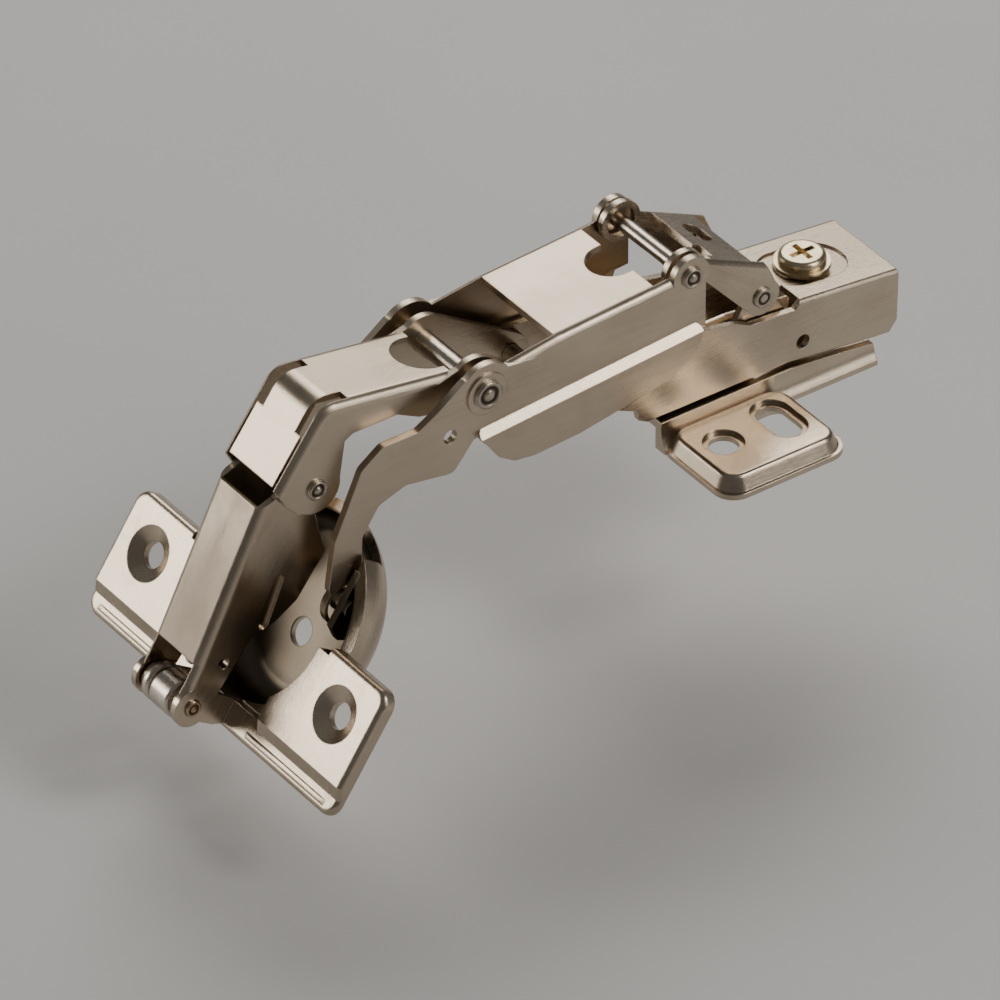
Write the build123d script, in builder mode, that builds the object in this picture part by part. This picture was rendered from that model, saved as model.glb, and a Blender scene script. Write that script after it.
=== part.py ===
"""Soft-close wide-angle cabinet hinge, opened to about 146 of its 165 degrees.

The frame sits on the cabinet panel: z = 0 is the panel, +X points at the door and
the pins lie along Y. All lengths are millimetres.
"""

import math
import os

from build123d import *

os.makedirs("parts", exist_ok=True)

# Sheet, fits and the layers of sheet from the middle plane outwards
plate_sheet = 1.5
sheet = 1.2
lever_sheet = 1.1
layer_gap = 0.3
running_fit = 0.05
loop_clearance_rear = 1.3
loop_clearance_cup = 2.1
head_height = 0.35
fold_radius = 1.5
small_fold = 0.9

front_inner = 4.5
front_outer = front_inner + lever_sheet
inner_inner = front_outer + layer_gap
inner_outer = inner_inner + lever_sheet
arm_inner = inner_outer + layer_gap
arm_outer = arm_inner + lever_sheet
outer_inner = arm_outer + head_height + layer_gap - 0.05
outer_outer = outer_inner + sheet
skirt_outer = outer_outer + sheet

# Pivots in the (x, z) plane, hinge open as seen from the side
arm_link = (-7.5, 19.8)
top_link = (7.0, 30.4)
arm_lever = (28.2, 16.4)
scissor = (44.0, 25.0)
link_front = (72.0, 17.75)
cup_front = (93.36, -13.38)
cup_rear = (69.15, -2.2)

arm_link_pin_radius = 1.3
top_link_pin_radius = 1.2
arm_lever_pin_radius = 1.5
scissor_pin_radius = 1.8
link_front_pin_radius = 1.3
cup_front_pin_radius = 1.3
cup_rear_pin_radius = 1.2

# Cup: boring size, flange and the tilt of the flange from the panel
cup_radius = 17.5
cup_depth = 12.5
cup_sheet = 1.1
flange_tilt = 56.0
cup_centre = (77.65, -3.62)
flange_half_length = 31.8
flange_rear = -1.6
flange_front = 19.3
screw_spacing = 48.0
screw_offset = 6.0
screw_hole_radius = 2.1
countersink_radius = 4.4

# Mounting plate
wing_half_length = 11.5
wing_reach = 25.8
wing_height = 3.2
plate_hole_spacing = 32.0
round_row_x = 5.1
slot_row_x = -5.1
plate_hole_radius = 2.3
slot_travel = 4.0
rail_front = 11.5
rail_rear = -28.0
rail_half_width = 9.2
rail_foot = 10.2
rail_height = 5.2
rail_rear_height = 3.2

# Arm fixing screw, overlay screw
fixing_screw_x = -21.2
fixing_screw_radius = 2.0
fixing_head_radius = 3.7
overlay_screw_x = 1.0
overlay_screw_radius = 2.4

side = Plane.XZ


def heading(start, end):
    """Length and unit vector from one pivot to another."""
    dx = end[0] - start[0]
    dz = end[1] - start[1]
    length = math.hypot(dx, dz)
    return length, (dx / length, 0, dz / length)


def link_plane(start, direction):
    """Sketch plane through a pivot, x along the link and y on its upper side."""
    return Plane(origin=(start[0], 0, start[1]), x_dir=direction, z_dir=(0, -1, 0))


def outline(points, rounding=0):
    """Closed face through the points, its corners rounded where a radius is given."""
    with BuildLine() as path:
        if rounding:
            FilletPolyline(*points, radius=rounding, close=True)
        else:
            Polyline(*points, close=True)
    make_face(path.edges())


def fold_edges(part, plane, first, second, half_width):
    """Long outer edges of a web whose face runs between two points of a side plane."""
    start = plane.from_local_coords((first[0], first[1], 0))
    end = plane.from_local_coords((second[0], second[1], 0))
    middle = (start + end) / 2
    chosen = []
    for edge in part.edges():
        centre = edge.center()
        beside = abs(abs(centre.Y) - half_width) < 0.01
        near = math.hypot(centre.X - middle.X, centre.Z - middle.Z) < 0.4 * (end - start).length
        on_line = abs((centre - start).cross((end - start).normalized()).Y) < 0.02
        if beside and near and on_line:
            chosen.append(edge)
    return chosen


def pin(pivot, radius, half_length, head_radius):
    """Riveted pin along Y with a flat head at each end."""
    plane = Plane(origin=(pivot[0], 0, pivot[1]), x_dir=(1, 0, 0), z_dir=(0, -1, 0))
    with BuildPart() as result:
        with BuildSketch(plane):
            Circle(radius)
        extrude(amount=half_length, both=True)
        for end in (half_length, -half_length):
            with BuildSketch(plane.offset(end)):
                Circle(head_radius)
            extrude(amount=math.copysign(head_height, end))
    return result


def save(builder, name):
    """Labels a finished piece and writes its file."""
    builder.part.label = name
    export_step(builder.part, f"parts/{name}.step")


# Mounting plate: a rail under the arm and two pressed wings with screw holes
wing_inner = 8.0
wing_corner = 3.6
lip_height = 0.9
wing_draft = 25
wing_edge_round = 0.9
wing_middle = (wing_inner + wing_reach) / 2
with BuildPart() as wing:
    for low, high, inset_edge, slope in ((0, lip_height, 0, 0), (lip_height, wing_height, 1, wing_draft)):
        with BuildSketch(Plane.XY.offset(low)):
            with Locations((0, wing_middle)):
                RectangleRounded(
                    2 * wing_half_length - inset_edge, wing_reach - wing_inner - inset_edge, wing_corner
                )
        extrude(amount=high - low, taper=slope)
    fillet(wing.edges().group_by(Axis.Z)[-1], wing_edge_round)

with BuildPart() as mounting_plate:
    with BuildSketch(Plane.YZ.offset(rail_rear)):
        with BuildLine():
            Polyline(
                (-rail_foot, 0), (rail_foot, 0), (rail_foot, lip_height),
            )
            ThreePointArc(
                (rail_foot, lip_height), (rail_half_width + 0.2, 2.2), (rail_half_width, rail_height)
            )
            Line((rail_half_width, rail_height), (-rail_half_width, rail_height))
            ThreePointArc(
                (-rail_half_width, rail_height), (-rail_half_width - 0.2, 2.2), (-rail_foot, lip_height)
            )
            Line((-rail_foot, lip_height), (-rail_foot, 0))
        make_face()
    extrude(amount=rail_front - rail_rear)
    add(wing.part)
    add(mirror(wing.part, Plane.XZ))
    with BuildSketch(side):
        outline([
            (rail_rear - 1, rail_rear_height), (-12.7, rail_height),
            (-12.7, rail_height + 2), (rail_rear - 1, rail_height + 2),
        ])
    extrude(amount=rail_foot, both=True, mode=Mode.SUBTRACT)
    with BuildSketch(side):
        outline([
            (rail_rear - 1, -1), (rail_front + 1, -1), (rail_front + 1, rail_height - plate_sheet),
            (-12.7, rail_height - plate_sheet), (rail_rear - 1, rail_rear_height - plate_sheet),
        ])
    extrude(amount=rail_half_width - plate_sheet, both=True, mode=Mode.SUBTRACT)
    for hand in (1, -1):
        with BuildSketch():
            with Locations((0, hand * (wing_middle + 0.6))):
                RectangleRounded(2 * wing_half_length - 4, wing_reach - wing_inner - 5, wing_corner - 1)
        extrude(amount=wing_height - plate_sheet, taper=wing_draft, mode=Mode.SUBTRACT)
        row = hand * plate_hole_spacing / 2
        for x, travel in ((round_row_x, 0), (slot_row_x, slot_travel)):
            for radius, low in ((plate_hole_radius, -1), (plate_hole_radius + 0.9, wing_height - 0.7)):
                with BuildSketch(Plane.XY.offset(low)):
                    with Locations((x, row)):
                        if travel:
                            SlotCenterToCenter(travel, 2 * radius, rotation=90)
                        else:
                            Circle(radius)
                extrude(amount=wing_height + 2, mode=Mode.SUBTRACT)
    with BuildSketch():
        with Locations((fixing_screw_x, 0)):
            Circle(fixing_screw_radius + running_fit)
    extrude(amount=rail_height + 1, mode=Mode.SUBTRACT)
save(mounting_plate, "mounting_plate")

# Hinge arm: channel on the rail, its cheeks run forward to the lever pivot
arm_rear = -33.0
arm_web_front = -14.9
arm_web_rear_top = 14.3
arm_web_front_top = 16.1
arm_floor = (-7.0, 10.5)
arm_floor_bottom = 6.0
arm_eye = 3.4
ear_radius = 2.9
arm_web_slope = (arm_web_front_top - arm_web_rear_top) / (arm_web_front - arm_rear)
arm_top = [
    (arm_rear, arm_web_rear_top), (arm_web_front, arm_web_front_top), (-13.6, 14.9),
    (-10.5, 15.2), (-5.4, 15.6), (-2.8, 16.9), (3.3, 18.2), (12.0, 18.8), (22.0, 19.5),
    (arm_lever[0], arm_lever[1] + arm_eye),
]
arm_bottom = [
    (arm_lever[0] + 0.6, arm_lever[1] - arm_eye), (24.0, 12.6), (15.4, 8.6), (15.1, 6.8),
    (13.6, arm_floor_bottom), (-12.7, 5.9), (-28.3, 3.9), (-31.5, 3.6), (-32.9, 5.4),
]
with BuildPart() as hinge_arm:
    with BuildSketch(side):
        outline(arm_top + arm_bottom)
        with Locations(arm_lever):
            Circle(arm_eye)
    extrude(amount=arm_outer, both=True)
    with BuildSketch(side):
        outline([
            (arm_rear - 1, 0), (arm_rear - 1, arm_web_rear_top - sheet - arm_web_slope),
            (arm_web_front, arm_web_front_top - sheet), (arm_web_front, 60), (60, 60), (60, 0),
            (arm_floor[1], 0), (arm_floor[1], arm_floor_bottom + sheet),
            (arm_floor[0], arm_floor_bottom + sheet), (arm_floor[0], 0),
        ])
    extrude(amount=arm_inner, both=True, mode=Mode.SUBTRACT)
    fillet(
        fold_edges(hinge_arm.part, side, arm_top[0], arm_top[1], arm_outer), small_fold
    )
    for hand in (1, -1):
        with BuildSketch(side.offset(-hand * inner_inner)):
            outline([(-12.6, 12.6), (-2.6, 12.6), (-3.4, 15.6), (-5.2, 18.8), (-9.8, 18.8), (-12.6, 15.0)])
            with Locations(arm_link):
                Circle(ear_radius)
        extrude(amount=-hand * lever_sheet)
        with BuildSketch(side.offset(-hand * inner_inner)):
            outline([(-12.6, 12.6), (-2.6, 12.6), (-2.9, 14.4), (-12.6, 14.4)])
        extrude(amount=-hand * (arm_outer - inner_inner))
    with BuildSketch(side):
        with Locations(arm_link):
            Circle(arm_link_pin_radius)
        with Locations(arm_lever):
            Circle(arm_lever_pin_radius)
        with Locations((-15.2, 8.6)):
            Circle(1.2)
    extrude(amount=arm_outer + 1, both=True, mode=Mode.SUBTRACT)
    screw_seat = Plane(
        origin=(fixing_screw_x, 0, arm_web_front_top + arm_web_slope * (fixing_screw_x - arm_web_front)),
        x_dir=(1, 0, arm_web_slope), z_dir=(-arm_web_slope, 0, 1),
    )
    with BuildSketch(screw_seat.offset(-0.4)):
        SlotCenterToCenter(5.0, 2 * fixing_head_radius + 2.4)
    extrude(amount=3, mode=Mode.SUBTRACT)
    with BuildSketch(screw_seat.offset(-3)):
        SlotCenterToCenter(4.6, 2 * fixing_screw_radius + 0.5)
    extrude(amount=6, mode=Mode.SUBTRACT)
    with BuildSketch(Plane.XY):
        with Locations((overlay_screw_x, 0)):
            Circle(overlay_screw_radius + running_fit)
    extrude(amount=10, mode=Mode.SUBTRACT)
save(hinge_arm, "hinge_arm")

# Fixing screw through the arm into the rail, with its washer
washer_height = 0.6
head_dome = 1.5
recess_width = 0.9
recess_reach = 4.2
screw_top = arm_web_front_top + arm_web_slope * (fixing_screw_x - arm_web_front) + 0.2
with BuildPart() as fixing_washer:
    with BuildSketch(Plane.XY.offset(screw_top)):
        with Locations((fixing_screw_x, 0)):
            Circle(fixing_head_radius + 0.7)
            Circle(fixing_screw_radius + running_fit, mode=Mode.SUBTRACT)
    extrude(amount=washer_height)
save(fixing_washer, "fixing_washer")

with BuildPart() as fixing_screw:
    with BuildSketch(Plane.XY.offset(2.0)):
        with Locations((fixing_screw_x, 0)):
            Circle(fixing_screw_radius)
    extrude(amount=screw_top + washer_height - 2.0)
    with BuildSketch(Plane.XY.offset(screw_top + washer_height)):
        with Locations((fixing_screw_x, 0)):
            Circle(fixing_head_radius)
    extrude(amount=head_dome)
    fillet(fixing_screw.edges().filter_by(GeomType.CIRCLE).sort_by(Axis.Z)[-1], 0.9)
    with BuildSketch(Plane.XY.offset(screw_top + washer_height + head_dome - 1.1)):
        with Locations((fixing_screw_x, 0)):
            Rectangle(recess_reach, recess_width)
            Rectangle(recess_width, recess_reach)
    extrude(amount=2, mode=Mode.SUBTRACT)
save(fixing_screw, "fixing_screw")

# Overlay screw: stands in the arm's floor under the top link
with BuildPart() as overlay_screw:
    with BuildSketch(Plane.XY.offset(rail_height + 0.1)):
        with Locations((overlay_screw_x, 0)):
            Circle(overlay_screw_radius)
    extrude(amount=4.2)
    with BuildSketch(Plane.XY.offset(rail_height + 4.3)):
        with Locations((overlay_screw_x, 0)):
            Circle(overlay_screw_radius + 0.7)
    extrude(amount=1.3)
    with BuildSketch(Plane.XY.offset(rail_height + 4.6)):
        with Locations((overlay_screw_x, 0)):
            Rectangle(recess_reach, recess_width)
            Rectangle(recess_width, recess_reach)
    extrude(amount=2, mode=Mode.SUBTRACT)
save(overlay_screw, "overlay_screw")

# Top link: short channel between the arm's ears and the outer lever
top_length, top_heading = heading(arm_link, top_link)
top_plane = link_plane(arm_link, top_heading)
top_eye = top_link_pin_radius + loop_clearance_rear + 1.0
top_rear_eye = 3.1
top_web = ((5.0, 4.4), (13.2, 2.8))
with BuildPart() as top_link_channel:
    with BuildSketch(top_plane):
        outline([
            (-2.1, 2.2), (2.6, 4.87), top_web[0], top_web[1], (15.4, 2.37),
            (14.6, -0.6), (13.2, -0.4), (1.2, -2.9), (-2.0, -2.3),
        ])
        Circle(top_rear_eye)
        with Locations((top_length, 0)):
            Circle(top_eye)
    extrude(amount=arm_outer, both=True)
    with BuildSketch(top_plane):
        outline([
            (-9, -9), (-9, 9), (top_web[0][0], 9), (top_web[0][0], top_web[0][1] - lever_sheet),
            (top_web[1][0], top_web[1][1] - lever_sheet), (top_web[1][0], 9), (30, 9), (30, -9),
        ])
    extrude(amount=arm_inner, both=True, mode=Mode.SUBTRACT)
    fillet(
        fold_edges(top_link_channel.part, top_plane, top_web[0], top_web[1], arm_outer), small_fold
    )
    with BuildSketch(top_plane):
        Circle(arm_link_pin_radius + running_fit)
        with Locations((top_length, 0)):
            Circle(top_link_pin_radius + loop_clearance_rear)
    extrude(amount=arm_outer + 1, both=True, mode=Mode.SUBTRACT)
    web_face = Plane(
        origin=top_plane.from_local_coords((9.1, 3.6, 0)),
        x_dir=top_heading, z_dir=(-top_heading[2], 0, top_heading[0]),
    )
    with BuildSketch(web_face.offset(-3)):
        with Locations((-0.4, -1.5)):
            SlotOverall(5.4, 3.4, rotation=90)
        with Locations((4.6, 4.6)):
            Rectangle(3.6, 3.2)
    extrude(amount=6, mode=Mode.SUBTRACT)
save(top_link_channel, "top_link")

# Outer lever: channel with a skirt, its walls run on as boomerang arms into the cup
outer_web_rear = 13.2
outer_web_front = 31.2
outer_web = ((outer_web_rear, 30.7), (outer_web_front, 29.5))
outer_eye = 5.0
rear_ear = 3.3
cup_eye = cup_rear_pin_radius + loop_clearance_cup + 0.6
skirt_top = ((5.0, 22.1), (46.8, 18.9))
skirt_length, skirt_heading = heading(skirt_top[0], skirt_top[1])
skirt_end = Plane(origin=(skirt_top[0][0], 0, skirt_top[0][1]), x_dir=(0, 1, 0), z_dir=skirt_heading)
with BuildPart() as outer_lever:
    with BuildSketch(side):
        outline([
            (4.4, 20.9), (4.4, 29.0), (10.2, 31.0), outer_web[0], outer_web[1],
            (40.4, 28.2), (44.0, 28.6), (46.3, 17.7),
        ])
        with Locations(top_link):
            Circle(rear_ear)
    extrude(amount=outer_outer, both=True)
    fillet(fold_edges(outer_lever.part, side, outer_web[0], outer_web[1], outer_outer), fold_radius)
    with BuildSketch(side):
        outline([
            (-30, -40), (-30, 60), (outer_web_rear, 60), (outer_web_rear, outer_web[0][1] - sheet),
            (outer_web_front, outer_web[1][1] - sheet), (outer_web_front, 60), (120, 60), (120, -40),
        ])
    extrude(amount=outer_inner, both=True, mode=Mode.SUBTRACT)
    for hand in (1, -1):
        with BuildSketch(side.offset(-hand * outer_inner)):
            outline([
                (42.0, 26.0), (47.4, 28.9), (52.8, 25.0), (56.2, 23.1), (62.4, 23.1), (66.2, 20.4),
                (71.0, 9.6), (72.4, 0.0), (66.6, 0.0), (66.2, 8.6), (63.2, 13.0), (58.4, 14.6),
                (50.0, 13.2), (46.3, 17.7), (42.0, 18.6),
            ], 1.6)
            with Locations(scissor):
                Circle(outer_eye)
            with Locations(cup_rear):
                Circle(cup_eye)
        extrude(amount=-hand * sheet)
        with BuildSketch(side.offset(-hand * outer_outer)):
            outline([
                skirt_top[0], skirt_top[1], (44.4, 16.2), (42.6, 13.6), (39.8, 11.8), (36.2, 11.3),
                (28.0, 11.8), (17.1, 13.6), (11.8, 14.6), (6.8, 17.5),
            ], 1.0)
        extrude(amount=-hand * sheet)
        with BuildSketch(skirt_end):
            outline([
                (hand * outer_outer, 0), (hand * skirt_outer, -sheet), (hand * (skirt_outer + 1), 1),
            ])
        extrude(amount=skirt_length, mode=Mode.SUBTRACT)
        with BuildSketch(side.offset(-hand * outer_outer)):
            with Locations(scissor):
                Circle(outer_eye - 1.5)
        extrude(amount=-hand * 0.3)
    with BuildSketch(side):
        with Locations(scissor):
            Circle(scissor_pin_radius + running_fit)
        with Locations(top_link):
            Circle(top_link_pin_radius)
        with Locations(cup_rear):
            Circle(cup_rear_pin_radius + loop_clearance_cup)
        with Locations((50.5, 19.9)):
            Circle(1.15)
    extrude(amount=skirt_outer + 1, both=True, mode=Mode.SUBTRACT)
    with BuildSketch(Plane.XY.offset(outer_web[0][1] - 4)):
        with Locations((outer_web_rear, 0)):
            SlotOverall(10, 8)
    extrude(amount=8, mode=Mode.SUBTRACT)
save(outer_lever, "outer_lever")

# Inner lever: elbow channel crossing the outer lever at the scissor pin
inner_eye = 4.3
inner_tail_eye = 3.2
inner_front_eye = 4.2
elbow_start = (47.6, 28.1)
elbow = (70.3, 31.5)
elbow_tip = (78.9, 19.7)
elbow_bend = 4.0
elbow_slot_inner = 4.0


def inset(first, corner, last, depth):
    """Inner corner of a sheet of this depth, bent at a corner between two points."""
    back = heading(corner, first)[1]
    onward = heading(corner, last)[1]
    reach = depth / abs(back[0] * onward[2] - back[2] * onward[0])
    return corner[0] + reach * (back[0] + onward[0]), corner[1] + reach * (back[2] + onward[2])


inner_elbow = inset(elbow_start, elbow, elbow_tip, lever_sheet)
with BuildPart() as inner_lever:
    with BuildSketch(side):
        with Locations(scissor):
            Circle(inner_eye)
        with Locations(arm_lever):
            Circle(inner_tail_eye)
        make_hull()
    extrude(amount=inner_outer, both=True)
    with BuildSketch(side):
        outline([
            (43.6, 29.2), elbow_start, elbow, elbow_tip, (77.4, 16.8),
            (75.2, 14.4), (70.4, 13.8), (68.2, 15.8), (66.9, 24.2), (65.4, 25.0),
            (57.6, 25.0), (53.8, 23.0), (46.0, 21.2), (42.6, 21.0),
        ])
        with Locations(link_front):
            Circle(inner_front_eye)
    extrude(amount=inner_outer, both=True)
    bend = inner_lever.edges().filter_by(Axis.Y).sort_by_distance((elbow[0], 0, elbow[1]))[0]
    fillet(bend, elbow_bend)
    fold = fold_edges(inner_lever.part, side, elbow_start, elbow, inner_outer)
    fold += fold_edges(inner_lever.part, side, elbow, elbow_tip, inner_outer)
    fillet(fold, fold_radius)
    with BuildSketch(side):
        outline([
            (0, -20), (0, 60), (elbow_start[0], 60), (elbow_start[0], elbow_start[1] - lever_sheet),
            inner_elbow, (elbow_tip[0] - 1.5, elbow_tip[1] + 0.3), (100, elbow_tip[1] + 0.3), (100, -20),
        ])
        corner = vertices().sort_by_distance((inner_elbow[0], 0, inner_elbow[1]))[0]
        fillet(corner, elbow_bend - lever_sheet)
    extrude(amount=inner_inner, both=True, mode=Mode.SUBTRACT)
    with BuildSketch(side):
        with Locations(scissor):
            Circle(scissor_pin_radius)
        with Locations(arm_lever):
            Circle(arm_lever_pin_radius + running_fit)
        with Locations(link_front):
            Circle(link_front_pin_radius)
    extrude(amount=inner_outer + 1, both=True, mode=Mode.SUBTRACT)
    with BuildSketch(Plane.XY.offset(18)):
        for hand in (1, -1):
            with Locations((69.6, hand * (elbow_slot_inner + inner_inner) / 2)):
                Rectangle(8.0, inner_inner - elbow_slot_inner)
            with Locations((77.0, hand * (inner_inner - 0.25))):
                Rectangle(8.0, 0.5)
        with Locations((elbow_start[0], 0)):
            SlotOverall(11, 9)
    extrude(amount=20, mode=Mode.SUBTRACT)
save(inner_lever, "inner_lever")

# Front link: deep channel from the inner lever to the front of the cup
front_length, front_heading = heading(link_front, cup_front)
front_plane = link_plane(link_front, front_heading)
front_face = ((5.9, 6.8), (31.4, 3.1))
front_rear_eye = 3.4
front_cup_eye = 3.2
with BuildPart() as front_link:
    with BuildSketch(front_plane):
        outline([
            (-1.6, 3.0), (3.6, 5.2), front_face[0], front_face[1], (34.6, 2.9), (38.0, 3.0),
            (38.0, -3.0), (33.2, -3.4), (25.4, -4.0), (21.6, -7.0), (17.6, -8.8), (9.4, -9.2),
            (6.6, -6.2), (4.0, -3.6), (0.0, -3.4),
        ])
        Circle(front_rear_eye)
        with Locations((front_length, 0)):
            Circle(front_cup_eye)
    extrude(amount=front_outer, both=True)
    fillet(
        fold_edges(front_link.part, front_plane, front_face[0], front_face[1], front_outer), fold_radius
    )
    with BuildSketch(front_plane):
        outline([
            (-20, -20), (-20, 20), (front_face[0][0], 20),
            (front_face[0][0], front_face[0][1] - lever_sheet),
            (front_face[1][0], front_face[1][1] - lever_sheet),
            (front_face[1][0], 20), (60, 20), (60, -20),
        ])
    extrude(amount=front_inner, both=True, mode=Mode.SUBTRACT)
    with BuildSketch(front_plane):
        Circle(link_front_pin_radius + running_fit)
        with Locations((front_length, 0)):
            Circle(cup_front_pin_radius + running_fit)
        with Locations((30.0, -1.4)):
            Circle(0.9)
    extrude(amount=front_outer + 1, both=True, mode=Mode.SUBTRACT)
    for hand in (1, -1):
        with BuildSketch(front_plane.offset(hand * front_outer)):
            with Locations((19.0, -4.2)):
                SlotOverall(9.0, 1.7, rotation=-12)
        extrude(amount=-hand * 0.5, mode=Mode.SUBTRACT)
save(front_link, "front_link")

# Damper in the front link: cylinder against the web, its rod towards the cup
damper_radius = 2.9
damper_span = (8.6, 25.6)
rod_end = 33.0
rod_radius = 1.0
damper_tilt = math.atan2(front_face[1][1] - front_face[0][1], front_face[1][0] - front_face[0][0])
damper_drop = lever_sheet + damper_radius + 0.05


def damper_point(u):
    """Point of the damper axis at u along the front link."""
    face = front_face[0][1] + math.tan(damper_tilt) * (u - front_face[0][0])
    return front_plane.from_local_coords((u, face - damper_drop / math.cos(damper_tilt), 0))


damper_heading = (damper_point(damper_span[1]) - damper_point(damper_span[0])).normalized()
damper_start = Plane(origin=damper_point(damper_span[0]), x_dir=(0, 1, 0), z_dir=damper_heading)
damper_length = (damper_point(damper_span[1]) - damper_point(damper_span[0])).length
rod_length = (damper_point(rod_end) - damper_point(damper_span[1])).length
with BuildPart() as damper_cylinder:
    with BuildSketch(damper_start):
        Circle(damper_radius)
    extrude(amount=damper_length)
    fillet(damper_cylinder.edges().filter_by(GeomType.CIRCLE), 0.5)
    with BuildSketch(damper_start.offset(damper_length - 6)):
        Circle(rod_radius)
    extrude(amount=7, mode=Mode.SUBTRACT)
save(damper_cylinder, "damper_cylinder")

with BuildPart() as damper_rod:
    with BuildSketch(damper_start.offset(damper_length - 6)):
        Circle(rod_radius)
    extrude(amount=rod_length + 6)
    fillet(damper_rod.edges().filter_by(GeomType.CIRCLE).group_by(Axis.Z)[0], 0.4)
save(damper_rod, "damper_rod")

# Hinge cup: pressed bowl with a two-eared flange, lugs for its two pins
tilt = math.radians(flange_tilt)
cup_plane = Plane(
    origin=(cup_centre[0], 0, cup_centre[1]),
    x_dir=(math.cos(tilt), 0, -math.sin(tilt)),
    z_dir=(math.sin(tilt), 0, math.cos(tilt)),
)
front_local = cup_plane.to_local_coords(Vector(cup_front[0], 0, cup_front[1]))
rear_local = cup_plane.to_local_coords(Vector(cup_rear[0], 0, cup_rear[1]))
rear_rim = -4.2
rear_notch = -8.5
front_notch = -3.4
strip_rear = 14.8
arm_gap = outer_outer + 0.8
step_start = 14.3
step_end = 16.2
step_drop = 1.1
flange_rest = -sheet - step_drop
edge_round = 0.9
corner_round = 2.6
rim_land = 2.3
bowl_round = 6.2
bowl_floor = cup_sheet - cup_depth
bowl_inner = cup_radius - rim_land
inner_round = bowl_round - 2.4
lug_half_width = 2.4
front_lug_inner = 3.3
front_lug_outer = front_inner - layer_gap
rear_lug_inner = outer_outer + 0.5
rear_lug_sheet = 1.2
rear_lug_rim = rear_rim + 0.2
floor_hole_radius = 2.2
floor_hole_offset = 3.6


def cup_side(y):
    """Sketch plane across the cup at y, x along the flange and y out of its face."""
    return Plane(
        origin=cup_plane.from_local_coords((0, y, 0)), x_dir=cup_plane.x_dir, z_dir=(0, -1, 0)
    )


def border_edges(part):
    """Upper outer edges of the flange, without its upright corner edges."""
    chosen = []
    for edge in part.edges():
        middle = cup_plane.to_local_coords(edge.center())
        upright = abs(edge.tangent_at(0).dot(cup_plane.z_dir)) > 0.99
        inside = flange_rear + corner_round < middle.X < flange_front - corner_round
        inside = inside and abs(middle.Y) < flange_half_length - corner_round
        if middle.Z > flange_rest + 0.1 and not upright and not inside:
            chosen.append(edge)
    return chosen


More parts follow.
